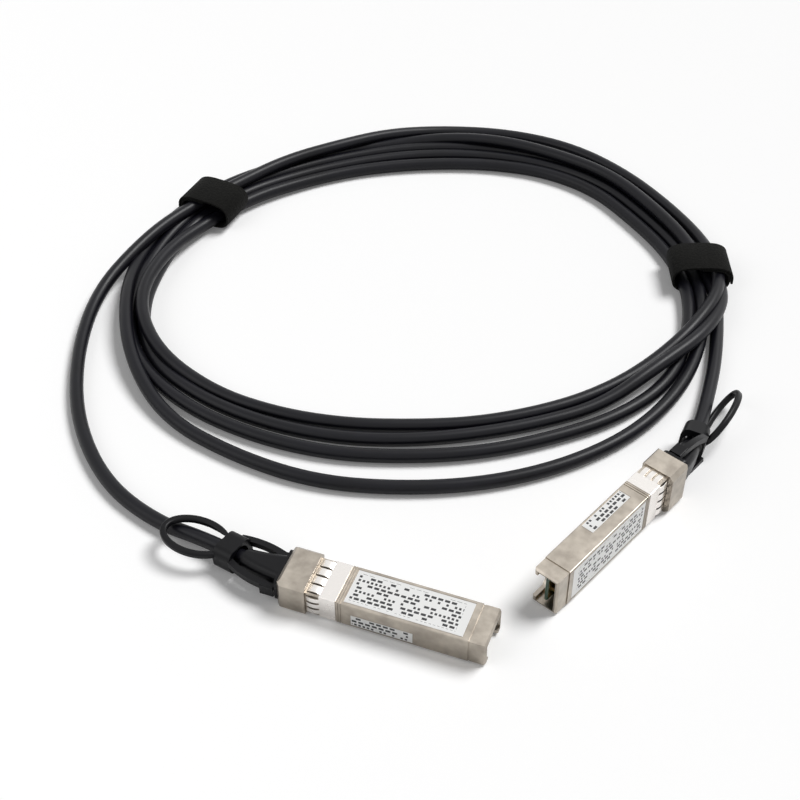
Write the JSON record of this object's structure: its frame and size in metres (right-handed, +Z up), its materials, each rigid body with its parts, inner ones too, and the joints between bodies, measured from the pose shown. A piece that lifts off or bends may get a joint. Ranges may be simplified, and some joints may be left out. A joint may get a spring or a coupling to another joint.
{
  "type": "passive copper network cable with pluggable ends",
  "caption": "Coiled round copper data cable with a plated pluggable housing, boot and pull tab at each end, held in a ring by two hook-and-loop ties.",
  "frame": {"origin": "left plug, underside of its head on the centre line, in the plane of the head's front shoulder, level with the surface that the cable lies on", "axes": "+X along the left plug towards its nose, the way it enters its cage; +Z up, out of its label face; +Y across the plug towards the coil"},
  "size_m": [0.2146, 0.2309, 0.0154],
  "materials": {
    "plated_housing": "satin nickel plating",
    "steel_fasteners": "satin",
    "spring_collar": "bright",
    "circuit_board": "satin solder resist",
    "gold_contacts": "polished",
    "chip_resin": "matte",
    "crimp_brass": "satin",
    "pair_foil": "satin foil",
    "steel_strip": "satin",
    "moulded_black": "gloss",
    "label_paper": "matte",
    "cable_jacket": "satin",
    "hook_loop_tie": "matte weave"
  },
  "bodies": {
    "cable_assembly": {"left_shell_base": "plated_housing", "left_shell_cover": "plated_housing", "left_cover_screws": "steel_fasteners", "left_emi_collar": "spring_collar", "left_paddle_card": "circuit_board", "left_card_contacts": "gold_contacts", "left_card_chip": "chip_resin", "left_crimp_ferrule": "crimp_brass", "left_wire_pairs": "pair_foil", "left_return_springs": "steel_strip", "left_cable_boot": "moulded_black", "left_top_label": "label_paper", "left_side_label": "label_paper", "right_shell_base": "plated_housing", "right_shell_cover": "plated_housing", "right_cover_screws": "steel_fasteners", "right_emi_collar": "spring_collar", "right_paddle_card": "circuit_board", "right_card_contacts": "gold_contacts", "right_card_chip": "chip_resin", "right_crimp_ferrule": "crimp_brass", "right_wire_pairs": "pair_foil", "right_return_springs": "steel_strip", "right_cable_boot": "moulded_black", "right_top_label": "label_paper", "right_side_label": "label_paper", "left_cable_tail": "cable_jacket", "right_cable_tail": "cable_jacket", "cable_coil": "cable_jacket", "left_tie": "hook_loop_tie", "right_tie": "hook_loop_tie"},
    "left_release": {"left_release_slider": "steel_strip", "left_pull_tab": "moulded_black"},
    "right_release": {"right_release_slider": "steel_strip", "right_pull_tab": "moulded_black"}
  },
  "joints": [
    {"name": "left_release_slide", "type": "slide", "parent": "cable_assembly", "child": "left_release", "axis": [-1, 0, 0], "range_m": [0, 0.0022], "stiffness_N_per_m": 900, "deforming": ["left_return_springs"]},
    {"name": "right_release_slide", "type": "slide", "parent": "cable_assembly", "child": "right_release", "axis": [0.3584, 0.9336, 0], "range_m": [0, 0.0022], "stiffness_N_per_m": 900, "deforming": ["right_return_springs"]}
  ]
}
